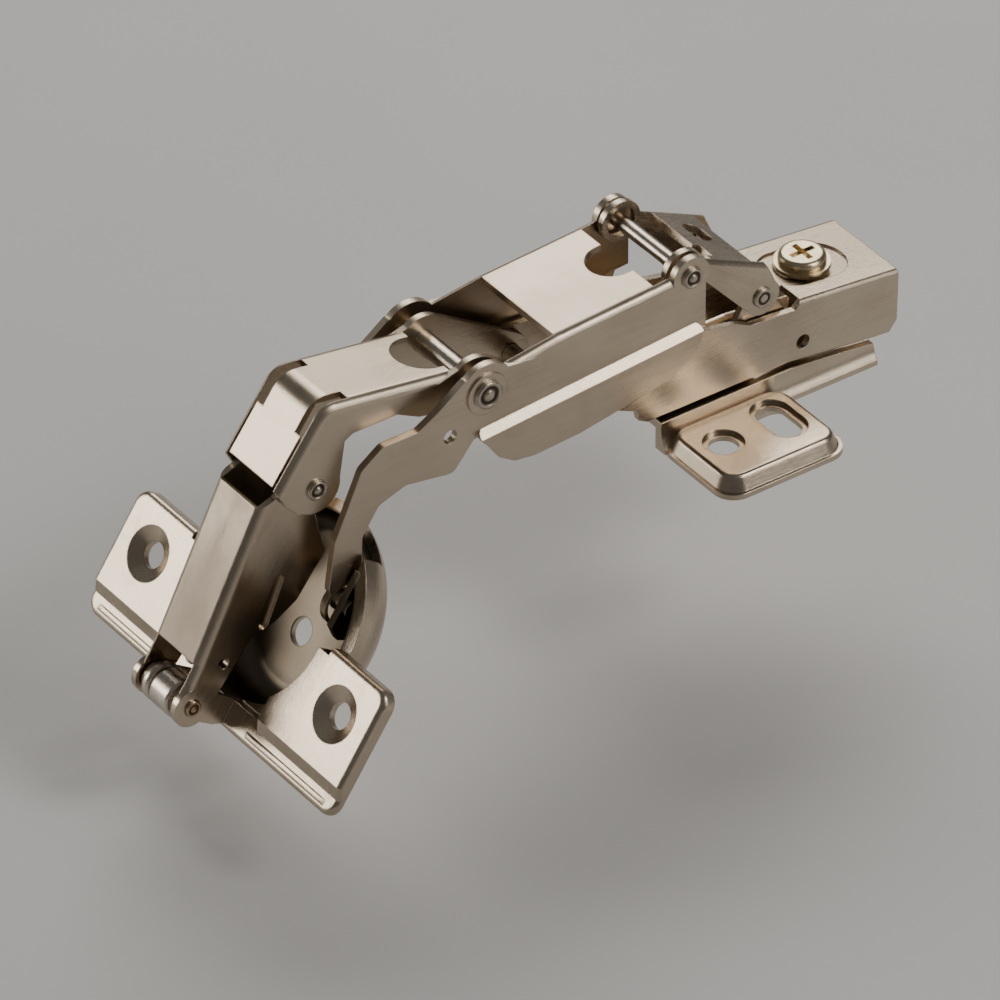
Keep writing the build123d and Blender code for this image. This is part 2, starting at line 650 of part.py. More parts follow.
with BuildPart() as hinge_cup:
    with BuildSketch(cup_plane.offset(flange_rest)):
        with Locations(((flange_rear + flange_front) / 2, 0)):
            RectangleRounded(flange_front - flange_rear, 2 * flange_half_length, corner_round)
    extrude(amount=-flange_rest)
    with BuildSketch(cup_side(0)):
        outline([
            (step_start, 0), (step_end, -step_drop), (flange_front + 1, -step_drop),
            (flange_front + 1, 1), (step_start, 1),
        ])
    extrude(amount=flange_half_length + 1, both=True, mode=Mode.SUBTRACT)
    fillet(border_edges(hinge_cup.part), edge_round)
    with BuildSketch(cup_side(0)):
        outline([
            (flange_rear + sheet, flange_rest - 1), (flange_rear + sheet, -sheet),
            (step_start - 0.5, -sheet), (step_end - 0.5, flange_rest), (step_end - 0.5, flange_rest - 1),
        ])
    extrude(amount=flange_half_length - sheet, both=True, mode=Mode.SUBTRACT)
    with BuildSketch(cup_plane.offset(-cup_depth)):
        Circle(cup_radius)
    extrude(amount=cup_depth)
    bowl_foot = hinge_cup.edges().filter_by(GeomType.CIRCLE)
    fillet(bowl_foot.sort_by(lambda edge: cup_plane.to_local_coords(edge.center()).Z)[0], bowl_round)
    with BuildSketch(cup_side(0)):
        with BuildLine():
            Polyline((0, bowl_floor), (0, 1), (bowl_inner, 1), (bowl_inner, bowl_floor + inner_round))
            ThreePointArc(
                (bowl_inner, bowl_floor + inner_round),
                (bowl_inner - 0.293 * inner_round, bowl_floor + 0.293 * inner_round),
                (bowl_inner - inner_round, bowl_floor),
            )
            Line((bowl_inner - inner_round, bowl_floor), (0, bowl_floor))
        make_face()
    revolve(axis=Axis(cup_plane.origin, cup_plane.z_dir), mode=Mode.SUBTRACT)
    with BuildSketch(cup_plane.offset(rear_rim)):
        with Locations((-cup_radius - 0.3, 0)):
            Rectangle(2 * cup_radius, 2 * cup_radius + 0.2)
    extrude(amount=cup_depth, mode=Mode.SUBTRACT)
    with BuildSketch(cup_plane.offset(rear_notch)):
        with Locations((-cup_radius, 0)):
            Rectangle(cup_radius, 2 * arm_gap)
    extrude(amount=cup_depth, mode=Mode.SUBTRACT)
    with BuildSketch(cup_plane.offset(front_notch)):
        with Locations(((screw_offset + strip_rear) / 2, 0)):
            Rectangle(strip_rear - screw_offset, 2 * arm_gap)
    extrude(amount=cup_depth, mode=Mode.SUBTRACT)
    with BuildSketch(cup_plane.offset(-step_drop)):
        with Locations((cup_radius, 0)):
            Rectangle(2 * (cup_radius - screw_offset), 2 * arm_gap)
    extrude(amount=cup_depth, mode=Mode.SUBTRACT)
    for hand in (1, -1):
        screw = (screw_offset, hand * screw_spacing / 2)
        with BuildSketch(cup_plane.offset(flange_rest)):
            with Locations(screw):
                Circle(countersink_radius)
        extrude(amount=sheet)
        with BuildSketch(cup_plane.offset(flange_rest - 1)):
            with Locations(screw):
                Circle(screw_hole_radius)
        extrude(amount=cup_depth, mode=Mode.SUBTRACT)
        with BuildSketch(cup_plane):
            with Locations(screw):
                Circle(countersink_radius)
        with BuildSketch(cup_plane.offset(-sheet)):
            with Locations(screw):
                Circle(screw_hole_radius)
        loft(mode=Mode.SUBTRACT)
        with BuildSketch(cup_side(hand * front_lug_inner)):
            outline([
                (front_local.X - lug_half_width, flange_rest), (flange_front - edge_round, flange_rest),
                (front_local.X + lug_half_width, edge_round),
                (front_local.X + lug_half_width, front_local.Z),
                (front_local.X - lug_half_width, front_local.Z),
            ])
            with Locations((front_local.X, front_local.Z)):
                Circle(lug_half_width)
                Circle(cup_front_pin_radius, mode=Mode.SUBTRACT)
        extrude(amount=-hand * (front_lug_outer - front_lug_inner))
        with BuildSketch(cup_side(hand * rear_lug_inner)):
            outline([
                (rear_local.X - 5.6, -cup_depth + 4.6), (rear_local.X - 2.0, -cup_depth + 0.6),
                (rear_local.X + 4.2, -cup_depth + 0.6), (rear_local.X + 5.2, rear_local.Z),
                (rear_local.X + 3.6, rear_lug_rim), (rear_local.X - 5.6, rear_lug_rim),
            ])
            with Locations((rear_local.X, rear_local.Z)):
                Circle(cup_rear_pin_radius, mode=Mode.SUBTRACT)
        extrude(amount=-hand * rear_lug_sheet)
    with BuildSketch(cup_plane.offset(-cup_depth - 1)):
        with Locations((floor_hole_offset, 0)):
            Circle(floor_hole_radius)
    extrude(amount=cup_sheet + 2, mode=Mode.SUBTRACT)
save(hinge_cup, "hinge_cup")

# Spring sleeve: smooth roll over the closing spring, split near its far end
sleeve_radius = 3.2
sleeve_split = -1.7
sleeve_gap = 0.35
sleeve_axis = Plane(origin=(cup_front[0], 0, cup_front[1]), x_dir=(1, 0, 0), z_dir=(0, 1, 0))
with BuildPart() as spring_sleeve:
    with BuildSketch(sleeve_axis.offset(-front_lug_inner)):
        Circle(sleeve_radius)
    extrude(amount=2 * front_lug_inner)
    with BuildSketch(sleeve_axis.offset(sleeve_split)):
        Circle(sleeve_radius)
        Circle(sleeve_radius - 0.9, mode=Mode.SUBTRACT)
    extrude(amount=sleeve_gap, mode=Mode.SUBTRACT)
    rims = spring_sleeve.edges().filter_by(GeomType.CIRCLE)
    fillet([rim for rim in rims if rim.radius > sleeve_radius - 0.01], 0.6)
    with BuildSketch(sleeve_axis):
        Circle(cup_front_pin_radius)
    extrude(amount=front_lug_inner, both=True, mode=Mode.SUBTRACT)
save(spring_sleeve, "spring_sleeve")

# Rear cup pins: a rivet in each rear lug, so the front link swings in between
rivet_inner = outer_inner - head_height
rivet_outer = rear_lug_inner + rear_lug_sheet
with BuildPart() as cup_rear_pins:
    for hand in (1, -1):
        for radius, start, end in (
            (cup_rear_pin_radius + 0.6, rivet_inner - head_height, rivet_inner),
            (cup_rear_pin_radius, rivet_inner, rivet_outer),
            (cup_rear_pin_radius + 0.5, rivet_outer, rivet_outer + head_height),
        ):
            with BuildSketch(side.offset(-hand * start)):
                with Locations(cup_rear):
                    Circle(radius)
            extrude(amount=-hand * (end - start))
save(cup_rear_pins, "cup_rear_pins")

# The pivot pins that run right through
pins = {
    "arm_link_pin": (arm_link, arm_link_pin_radius, arm_outer, arm_link_pin_radius + 0.4),
    "top_link_pin": (top_link, top_link_pin_radius, outer_outer, top_link_pin_radius + 0.6),
    "arm_lever_pin": (arm_lever, arm_lever_pin_radius, arm_outer, arm_lever_pin_radius + 0.6),
    "scissor_pin": (scissor, scissor_pin_radius, outer_outer + 0.3, scissor_pin_radius + 0.6),
    "front_link_pin": (link_front, link_front_pin_radius, inner_outer, link_front_pin_radius + 0.4),
    "cup_front_pin": (cup_front, cup_front_pin_radius, front_outer, cup_front_pin_radius),
}
for name, (pivot, radius, half_length, head_radius) in pins.items():
    save(pin(pivot, radius, half_length, head_radius), name)
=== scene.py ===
"""Looks of the wide-angle cabinet hinge: plated sheet, peened pins, screws, damper and studio."""

import math

import bpy
import bmesh
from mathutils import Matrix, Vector


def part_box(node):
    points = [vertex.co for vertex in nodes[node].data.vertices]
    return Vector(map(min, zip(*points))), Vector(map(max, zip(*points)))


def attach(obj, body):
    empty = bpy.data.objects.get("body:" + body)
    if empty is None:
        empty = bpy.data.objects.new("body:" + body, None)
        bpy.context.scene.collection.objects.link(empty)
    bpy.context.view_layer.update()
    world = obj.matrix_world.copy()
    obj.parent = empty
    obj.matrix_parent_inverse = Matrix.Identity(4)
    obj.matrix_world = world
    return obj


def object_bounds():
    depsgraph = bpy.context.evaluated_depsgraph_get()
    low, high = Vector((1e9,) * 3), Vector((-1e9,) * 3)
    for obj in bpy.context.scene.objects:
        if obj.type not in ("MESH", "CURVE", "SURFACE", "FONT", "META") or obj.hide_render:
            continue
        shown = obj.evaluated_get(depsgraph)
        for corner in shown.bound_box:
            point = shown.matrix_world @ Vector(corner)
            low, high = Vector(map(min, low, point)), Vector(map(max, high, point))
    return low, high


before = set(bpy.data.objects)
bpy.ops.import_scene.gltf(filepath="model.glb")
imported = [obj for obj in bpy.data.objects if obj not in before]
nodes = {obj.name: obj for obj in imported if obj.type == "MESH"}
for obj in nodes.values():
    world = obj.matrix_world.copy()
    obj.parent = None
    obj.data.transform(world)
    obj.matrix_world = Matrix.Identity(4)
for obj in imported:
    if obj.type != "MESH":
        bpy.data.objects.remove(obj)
cad_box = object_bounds()

MM = 0.001

# Camera: direction from the hinge in degrees, aim point, distance and width of the picture
VIEW_AZIMUTH = 54.3
VIEW_ELEVATION = 36.3
AIM = Vector((43.5, 12.8, 7.1)) * MM
CAMERA_DISTANCE = 1500 * MM
FRAME_WIDTH = 146 * MM
SENSOR = 36.0
CLIP_START = 0.05
CLIP_END = 20.0

# How far a deburred edge is rounded, in millimetres; the peened ends are crisper
EDGE_BREAK = 0.22
PEENED_EDGE_BREAK = 0.06
EDGE_SAMPLES = 4

# The cup's own axes: down its flange and out of its face
FLANGE_TILT = math.radians(56)
CUP_CENTRE = Vector((77.65, 0, -3.62)) * MM
DOWN_FLANGE = Vector((math.cos(FLANGE_TILT), 0, -math.sin(FLANGE_TILT)))
OUT_OF_FACE = Vector((math.sin(FLANGE_TILT), 0, math.cos(FLANGE_TILT)))


def add_node(tree, kind, settings=None, inputs=None):
    """Adds a node to a tree, sets its settings, then its sockets by name or number."""
    made = tree.nodes.new(kind)
    for key, setting in (settings or {}).items():
        if key == "stops":
            ramp = made.color_ramp
            while len(ramp.elements) < len(setting):
                ramp.elements.new(0.5)
            for element, (place, colour) in zip(ramp.elements, setting):
                element.position = place
                element.color = (*colour, 1.0)
        else:
            setattr(made, key, setting)
    for key, given in (inputs or {}).items():
        if isinstance(given, Value):
            given = given.socket
        if isinstance(given, bpy.types.NodeSocket):
            tree.links.new(given, made.inputs[key])
        else:
            made.inputs[key].default_value = given
    return made


class Value:
    """A number socket that Python's operators turn into Math nodes."""

    def __init__(self, tree, socket):
        self.tree = tree
        self.socket = socket

    def _math(self, operation, *values):
        sockets = dict(enumerate(values))
        made = add_node(self.tree, "ShaderNodeMath", {"operation": operation}, sockets)
        return Value(self.tree, made.outputs[0])

    def __add__(self, other):
        return self._math("ADD", self, other)

    __radd__ = __add__

    def __sub__(self, other):
        return self._math("SUBTRACT", self, other)

    def __rsub__(self, other):
        return self._math("SUBTRACT", other, self)

    def __mul__(self, other):
        return self._math("MULTIPLY", self, other)

    __rmul__ = __mul__

    def __truediv__(self, other):
        return self._math("DIVIDE", self, other)

    def __rtruediv__(self, other):
        return self._math("DIVIDE", other, self)

    def root(self):
        return self._math("POWER", self, 0.5)

    def at_least(self, floor):
        return self._math("MAXIMUM", self, floor)

    def clamp(self):
        return self._math("MINIMUM", self.at_least(0.0), 1.0)


class Graph:
    """One material's node tree, built a node at a time."""

    def __init__(self, name):
        self.material = bpy.data.materials.new(name)
        self.material.use_nodes = True
        self.tree = self.material.node_tree
        self.tree.nodes.clear()

    def node(self, kind, settings=None, inputs=None):
        """Adds a node of any kind to this material."""
        return add_node(self.tree, kind, settings, inputs)

    def value(self, node, output):
        """A node's number output, ready for arithmetic."""
        return Value(self.tree, node.outputs[output])

    def object_point(self, stretch=(1, 1, 1), turn=0.0):
        """Object coordinates in millimetres, X dipping by the turn, then stretched."""
        coordinates = self.node("ShaderNodeTexCoord").outputs["Object"]
        turned_point = self.node(
            "ShaderNodeMapping",
            {"vector_type": "POINT"},
            {"Vector": coordinates, "Rotation": (0, -turn, 0), "Scale": (1000, 1000, 1000)},
        )
        stretched = self.node(
            "ShaderNodeVectorMath",
            {"operation": "MULTIPLY"},
            {0: turned_point.outputs["Vector"], 1: stretch},
        )
        return stretched.outputs["Vector"]

    def noise(self, point, size, detail, rough):
        """Noise between 0 and 1 with blots of the given size in millimetres."""
        made = self.node(
            "ShaderNodeTexNoise",
            {"noise_dimensions": "3D"},
            {"Vector": point, "Scale": 1.0 / size, "Detail": detail, "Roughness": rough},
        )
        return self.value(made, "Fac")

    def ramp(self, factor, stops):
        """Colour that runs through the stops as the factor goes from 0 to 1."""
        made = self.node("ShaderNodeValToRGB", {"stops": stops}, {"Fac": factor})
        return made.outputs["Color"]

    def blend(self, factor, base, cover):
        """Base colour that turns to a plain cover colour as the factor goes to 1."""
        made = self.node(
            "ShaderNodeMix", {"data_type": "RGBA"}, {"Factor": factor, 6: base, 7: (*cover, 1.0)}
        )
        return made.outputs[2]

    def bump(self, height, strength, depth, edge=EDGE_BREAK):
        """Surface normal roughened by a height, with sharp edges broken by a hair."""
        broken = self.node("ShaderNodeBevel", {"samples": EDGE_SAMPLES}, {"Radius": edge * MM})
        made = self.node("ShaderNodeBump", None, {
            "Height": height, "Strength": strength, "Distance": depth * MM,
            "Normal": broken.outputs["Normal"],
        })
        return made.outputs["Normal"]

    def finish(self, **sockets):
        """Principled surface with these sockets, wired to the output."""
        names = {key.replace("_", " "): given for key, given in sockets.items()}
        surface = self.node("ShaderNodeBsdfPrincipled", None, names)
        self.node("ShaderNodeOutputMaterial", None, {"Surface": surface.outputs["BSDF"]})
        return self.material


# Noise averages a half, so a pattern less this middle only swings a value up and down
MIDDLE = 0.5

# Nickel plate, from its thin places to its brightest, and the same plate stained by handling
NICKEL_LIGHT = (0.55, 0.465, 0.365)
NICKEL_DARK = (0.40, 0.33, 0.25)
NICKEL_BRIGHT = tuple(part * 1.06 for part in NICKEL_LIGHT)
NICKEL_STAINED = tuple(part * 0.82 for part in NICKEL_DARK)

# Belt grind: how far the marks are drawn out, and sizes of the patterns in millimetres
FINE_DRAW = (0.03, 1.0, 1.0)
BROAD_DRAW = (0.08, 1.0, 1.0)
FINE_MARK = 0.16
BROAD_MARK = 1.3
PLATE_CLOUD = 14.0
HANDLED_SPOT = 5.0

# What part each pattern has in the streaks, in the tone and in the relief
FINE_IN_STREAK = 0.6
STREAK_IN_TONE = 0.45
FINE_IN_RELIEF = 0.7

# Where handling stains begin, how hard their rims are and how much they cover
STAIN_FROM = 0.58
STAIN_RIM = 3.0
STAIN_COVER = 0.35

# How much each pattern dulls the plate
STREAK_DULLING = 0.16
CLOUD_DULLING = 0.10
STAIN_DULLING = 0.06

GRIND_ANISOTROPY = 0.35
GRIND_STRENGTH = 0.10
GRIND_DEPTH = 0.4

# The bowl's inside in millimetres, and the depths over which painted shade darkens and dulls its
# plate
BOWL_RADIUS = 15.2
BOWL_DEPTH = 11.4
BOWL_ROUND = 3.8
BOWL_SKIN = 0.5
BOWL_FEATHER = 0.3
SHADE_FROM = 1.6
SHADE_RUN = 4.0

# Painted shade inside the drawn bowl: its colour, how strongly it covers the plate, and how much
# rougher the plate is there
BOWL_SHADE_COLOUR = (0.085, 0.068, 0.048)
BOWL_SHADE_STRENGTH = 0.85
BOWL_DULLING = 0.08


def bowl_shade_and_dulling(g):
    """Painted shade and dulling: 0 on the flange and outside, 1 deep inside the drawn bowl."""
    point = g.node("ShaderNodeSeparateXYZ", None, {"Vector": g.object_point(turn=FLANGE_TILT)})
    along = g.value(point, "X") - CUP_CENTRE.dot(DOWN_FLANGE) / MM
    across = g.value(point, "Y")
    depth = CUP_CENTRE.dot(OUT_OF_FACE) / MM - g.value(point, "Z")
    reach = (along * along + across * across).root()
    past_wall = (reach - (BOWL_RADIUS - BOWL_ROUND)).at_least(0.0)
    past_floor = (depth - (BOWL_DEPTH - BOWL_ROUND)).at_least(0.0)
    outside = (past_wall * past_wall + past_floor * past_floor).root() - BOWL_ROUND
    inside = ((BOWL_SKIN - outside) / BOWL_FEATHER).clamp()
    return inside * ((depth - SHADE_FROM) / SHADE_RUN).clamp()


def satin_nickel(name, turn, dullness, shade_and_dulling=None):
    """Nickel plate over belt-ground sheet, the grind running along the dipping X axis."""
    g = Graph(name)
    fine = g.noise(g.object_point(FINE_DRAW, turn), FINE_MARK, detail=4.0, rough=0.7)
    broad = g.noise(g.object_point(BROAD_DRAW, turn), BROAD_MARK, detail=3.0, rough=0.6)
    cloud = g.noise(g.object_point(), PLATE_CLOUD, detail=3.0, rough=0.5)
    handled = g.noise(g.object_point(), HANDLED_SPOT, detail=5.0, rough=0.65)
    streak = (fine * FINE_IN_STREAK + broad * (1 - FINE_IN_STREAK)).clamp()
    tone = (streak * STREAK_IN_TONE + cloud * (1 - STREAK_IN_TONE)).clamp()
    plated = g.ramp(tone, ((0.28, NICKEL_DARK), (0.55, NICKEL_LIGHT), (0.78, NICKEL_BRIGHT)))
    stain = ((handled - STAIN_FROM) * STAIN_RIM).clamp()
    colour = g.blend(stain * STAIN_COVER, plated, NICKEL_STAINED)
    streaky = (streak - MIDDLE) * STREAK_DULLING
    cloudy = (cloud - MIDDLE) * CLOUD_DULLING
    rough = (dullness + streaky + cloudy + stain * STAIN_DULLING).clamp()
    # Deep inside the bowl the colour is darkened as painted shade, and the plate is rougher
    if shade_and_dulling:
        deep_shade = shade_and_dulling(g)
        colour = g.blend(deep_shade * BOWL_SHADE_STRENGTH, colour, BOWL_SHADE_COLOUR)
        rough = (rough + deep_shade * BOWL_DULLING).clamp()
    relief = fine * FINE_IN_RELIEF + broad * (1 - FINE_IN_RELIEF)
    return g.finish(
        Base_Color=colour, Metallic=1.0, Roughness=rough, Anisotropic=GRIND_ANISOTROPY,
        Normal=g.bump(relief, GRIND_STRENGTH, GRIND_DEPTH),
    )


# Barrel-plated small parts: size of the clouds in millimetres, part of the pits in the tone,
# how much each dulls the plate, and the relief of the pits
BARREL_CLOUD = 2.6
PITS_IN_BARREL = 0.4
BARREL_PIT_DULLING = 0.14
BARREL_CLOUD_DULLING = 0.1
PIT_STRENGTH = 0.12
PIT_DEPTH = 0.3


def tumbled_metal(name, light, dark, dullness, pit):
    """Barrel-plated small parts: fine pits, no grind direction."""
    g = Graph(name)
    pits = g.noise(g.object_point(), pit, detail=4.0, rough=0.6)
    cloud = g.noise(g.object_point(), BARREL_CLOUD, detail=3.0, rough=0.5)
    tone = (pits * PITS_IN_BARREL + cloud * (1 - PITS_IN_BARREL)).clamp()
    colour = g.ramp(tone, ((0.3, dark), (0.6, light)))
    pitted = (pits - MIDDLE) * BARREL_PIT_DULLING
    cloudy = (cloud - MIDDLE) * BARREL_CLOUD_DULLING
    rough = (dullness + pitted + cloudy).clamp()
    return g.finish(
        Base_Color=colour, Metallic=1.0, Roughness=rough,
        Normal=g.bump(pits, PIT_STRENGTH, PIT_DEPTH),
    )


# Peened pin ends: sizes of the hammer marks and pits, and how dull the struck metal is
HAMMER_MARK = 0.5
PEENED_PIT = 0.12
HAMMER_IN_TONE = 0.6
PEENED_DULLNESS = 0.27
PEENED_PIT_DULLING = 0.16
GROOVE_DULLING = 0.14


def peened_metal(name, light, dark, groove):
    """Hammered pin end: bright where it was struck, with painted shade in the punched groove."""
    g = Graph(name)
    struck = g.noise(g.object_point(), HAMMER_MARK, detail=3.0, rough=0.6)
    pits = g.noise(g.object_point(), PEENED_PIT, detail=4.0, rough=0.6)
    tone = (struck * HAMMER_IN_TONE + pits * (1 - HAMMER_IN_TONE)).clamp()
    metal = g.ramp(tone, ((0.3, dark), (0.62, light)))
    # The ring of the punched groove is painted dark as shade, and made rougher
    shaded_ring = g.value(g.node("ShaderNodeAttribute", {"attribute_name": "groove"}), "Fac")
    colour = g.blend(shaded_ring.clamp(), metal, groove)
    pitted = (pits - MIDDLE) * PEENED_PIT_DULLING
    rough = (PEENED_DULLNESS + pitted + shaded_ring * GROOVE_DULLING).clamp()
    return g.finish(
        Base_Color=colour, Metallic=1.0, Roughness=rough,
        Normal=g.bump(pits, PIT_STRENGTH, PIT_DEPTH, PEENED_EDGE_BREAK),
    )


# Moulded damper body: grain and clouds in millimetres, and its dullness
SPARK_GRAIN = 0.25
PLASTIC_CLOUD = 4.0
GRAIN_IN_TONE = 0.3
PLASTIC_DULLNESS = 0.46
GRAIN_DULLING = 0.2
GRAIN_STRENGTH = 0.2
GRAIN_DEPTH = 0.3


def moulded_plastic(name, light, dark):
    """Dark moulded damper body with a fine spark-eroded skin."""
    g = Graph(name)
    grain = g.noise(g.object_point(), SPARK_GRAIN, detail=3.0, rough=0.6)
    cloud = g.noise(g.object_point(), PLASTIC_CLOUD, detail=2.0, rough=0.5)
    tone = (grain * GRAIN_IN_TONE + cloud * (1 - GRAIN_IN_TONE)).clamp()
    colour = g.ramp(tone, ((0.35, dark), (0.65, light)))
    rough = (PLASTIC_DULLNESS + (grain - MIDDLE) * GRAIN_DULLING).clamp()
    return g.finish(
        Base_Color=colour, Roughness=rough, Normal=g.bump(grain, GRAIN_STRENGTH, GRAIN_DEPTH)
    )


FLOOR_LOW = (0.69, 0.69, 0.69)
FLOOR_HIGH = (0.73, 0.73, 0.725)
FLOOR_MOTTLE = 60.0
FLOOR_DULLNESS = 0.55
MOTTLE_DULLING = 0.1


def pale_floor(name):
    """Plain pale table top."""
    g = Graph(name)
    mottle = g.noise(g.object_point(), FLOOR_MOTTLE, detail=2.0, rough=0.5)
    colour = g.ramp(mottle, ((0.3, FLOOR_LOW), (0.7, FLOOR_HIGH)))
    rough = (FLOOR_DULLNESS + (mottle - MIDDLE) * MOTTLE_DULLING).clamp()
    return g.finish(Base_Color=colour, Roughness=rough)


# How far the grind dips from X on the sheets that lie askew
TOP_LINK_TILT = -0.63
ELBOW_TILT = -0.15
FRONT_LINK_TILT = math.radians(55.5)

# The cup's bowl is darkened inside as painted shade
cup_finish = satin_nickel("plated_cup", FLANGE_TILT, 0.26, bowl_shade_and_dulling)
pin_finish = tumbled_metal("plated_pins", (0.64, 0.575, 0.49), (0.48, 0.42, 0.345), 0.22, 0.12)
# The last colour of each peened finish is painted shade in its groove
peened_finish = peened_metal(
    "peened_pins", (0.56, 0.49, 0.40), (0.38, 0.325, 0.26), (0.07, 0.058, 0.045)
)
peened_bronze = peened_metal(
    "peened_bronze", (0.56, 0.40, 0.25), (0.40, 0.275, 0.16), (0.09, 0.06, 0.035)
)
bronze_finish = tumbled_metal("bronze_pin_end", (0.58, 0.42, 0.27), (0.42, 0.29, 0.17), 0.3, 0.12)
screw_finish = tumbled_metal("yellow_zinc", (0.70, 0.60, 0.42), (0.50, 0.40, 0.25), 0.2, 0.1)
sleeve_finish = tumbled_metal("plated_sleeve", (0.66, 0.60, 0.52), (0.50, 0.445, 0.375), 0.26, 0.12)
rod_finish = tumbled_metal("ground_rod", (0.72, 0.71, 0.70), (0.6, 0.59, 0.58), 0.15, 0.1)
damper_finish = moulded_plastic("damper_plastic", (0.055, 0.055, 0.06), (0.03, 0.03, 0.033))
floor_finish = pale_floor("pale_table")

# Every node that is not named here is a pin
finishes = {
    "mounting_plate": satin_nickel("plated_plate", 0.0, 0.24),
    "hinge_arm": satin_nickel("plated_arm", 0.0, 0.28),
    "top_link": satin_nickel("plated_top_link", TOP_LINK_TILT, 0.27),
    "outer_lever": satin_nickel("plated_outer_lever", 0.0, 0.30),
    "inner_lever": satin_nickel("plated_inner_lever", ELBOW_TILT, 0.29),
    "front_link": satin_nickel("plated_front_link", FRONT_LINK_TILT, 0.22),
    "hinge_cup": cup_finish,
    "fixing_screw": screw_finish,
    "fixing_washer": screw_finish,
    "overlay_screw": bronze_finish,
    "spring_sleeve": sleeve_finish,
    "damper_cylinder": damper_finish,
    "damper_rod": rod_finish,
}
for node, piece in nodes.items():
    piece.data.materials.clear()
    piece.data.materials.append(finishes.get(node, pin_finish))


def mesh_piece(name, mesh, finish, body):
    """A new object at the origin that moves with a body."""
    piece = bpy.data.objects.new(name, mesh)
    bpy.context.scene.collection.objects.link(piece)
    piece.data.materials.clear()
    piece.data.materials.append(finish)
    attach(piece, body)


def turned(name, profile, sides):
    """Mesh turned round Z from (radius, height) pairs, closed at the axis."""
    shape = bmesh.new()
    rings = []
    for radius, height in profile:
        if radius == 0:
            rings.append([shape.verts.new((0, 0, height))])
            continue
        ring = []
        for step in range(sides):
            angle = math.tau * step / sides
            ring.append(shape.verts.new((radius * math.cos(angle), radius * math.sin(angle), height)))
        rings.append(ring)
    for first, second in zip(rings, rings[1:]):
        for step in range(sides):
            following = (step + 1) % sides
            corners = [
                first[step % len(first)], first[following % len(first)],
                second[following % len(second)], second[step % len(second)],
            ]
            shape.faces.new(list(dict.fromkeys(corners)))
    bmesh.ops.recalc_face_normals(shape, faces=shape.faces)
    for face in shape.faces:
        face.smooth = True
    mesh = bpy.data.meshes.new(name)
    shape.to_mesh(mesh)
    shape.free()
    return mesh


# A peened pin end of unit radius and height: punched dome, groove and rolled rim
PEENED_END = (
    (0, 1.0), (0.20, 0.93), (0.36, 0.62), (0.46, 0.06), (0.66, 0.05),
    (0.74, 0.56), (0.88, 0.66), (0.98, 0.34), (1.0, -0.2), (0.9, -0.4), (0, -0.4),
)
# Radii of the ring painted dark as shade in the punched groove
GROOVE_SHADE_RADII = (0.40, 0.72)
PEENED_SIDES = 28
peened_mesh = turned("peened_end", PEENED_END, PEENED_SIDES)
groove = peened_mesh.attributes.new("groove", "FLOAT", "POINT")
for index, vertex in enumerate(peened_mesh.vertices):
    radius = vertex.co.to_2d().length
    groove.data[index].value = float(GROOVE_SHADE_RADII[0] < radius < GROOVE_SHADE_RADII[1])
peened_template = bpy.data.objects.new("peened_end", peened_mesh)
bpy.context.scene.collection.objects.link(peened_template)


def peened_end_tree(finish):
    """Geometry Nodes that set a peened end on every point, sized and faced by attributes."""
    tree = bpy.data.node_groups.new("peened_ends", "GeometryNodeTree")
    tree.interface.new_socket("Geometry", in_out="INPUT", socket_type="NodeSocketGeometry")
    size = tree.interface.new_socket("Size", in_out="INPUT", socket_type="NodeSocketFloat")
    tree.interface.new_socket("Geometry", in_out="OUTPUT", socket_type="NodeSocketGeometry")
    given = add_node(tree, "NodeGroupInput")
    vector_type = {"data_type": "FLOAT_VECTOR"}
    facing = add_node(tree, "GeometryNodeInputNamedAttribute", vector_type, {"Name": "facing"})
    head = add_node(tree, "GeometryNodeInputNamedAttribute", vector_type, {"Name": "head"})
    template = add_node(tree, "GeometryNodeObjectInfo", None, {"Object": peened_template})
    scale = add_node(
        tree, "ShaderNodeVectorMath", {"operation": "SCALE"},
        {0: head.outputs["Attribute"], "Scale": given.outputs["Size"]},
    )
    placed = add_node(tree, "GeometryNodeInstanceOnPoints", None, {
        "Points": given.outputs["Geometry"], "Instance": template.outputs["Geometry"],
        "Rotation": facing.outputs["Attribute"], "Scale": scale.outputs[0],
    })
    real = add_node(
        tree, "GeometryNodeRealizeInstances", None, {"Geometry": placed.outputs["Instances"]}
    )
    coated = add_node(
        tree, "GeometryNodeSetMaterial", None,
        {"Geometry": real.outputs["Geometry"], "Material": finish},
    )
    add_node(tree, "NodeGroupOutput", None, {"Geometry": coated.outputs["Geometry"]})
    return tree, size.identifier


def peened_ends(name, ends, finish, body):
    """Peened ends at (x, y, z, head radius, height), each facing away from the middle plane."""
    points = bpy.data.meshes.new(name + "_points")
    points.from_pydata([Vector((x, y, z)) * MM for x, y, z, _, _ in ends], [], [])
    points.attributes.new("facing", "FLOAT_VECTOR", "POINT")
    points.attributes.new("head", "FLOAT_VECTOR", "POINT")
    for index, (_, y, _, radius, height) in enumerate(ends):
        turn = (-math.copysign(math.pi / 2, y), 0, 0)
        points.attributes["facing"].data[index].vector = turn
        points.attributes["head"].data[index].vector = (radius, radius, height)
    carrier = bpy.data.objects.new(name + "_points", points)
    bpy.context.scene.collection.objects.link(carrier)
    tree, size_socket = peened_end_tree(finish)
    layout = carrier.modifiers.new("peened_ends", "NODES")
    layout.node_group = tree
    layout[size_socket] = MM
    graph = bpy.context.evaluated_depsgraph_get()
    mesh = bpy.data.meshes.new_from_object(carrier.evaluated_get(graph))
    mesh.name = name
    carrier.modifiers.clear()
    bpy.data.objects.remove(carrier)
    mesh_piece(name, mesh, finish, body)


def both_sides(node, pivot, radius, height):
    """Peened ends of a pin that runs right through at (x, z), as far out as the pin reaches."""
    x, z = pivot
    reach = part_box(node)[1][1] / MM
    return [(x, hand * reach, z, radius, height) for hand in (1, -1)]


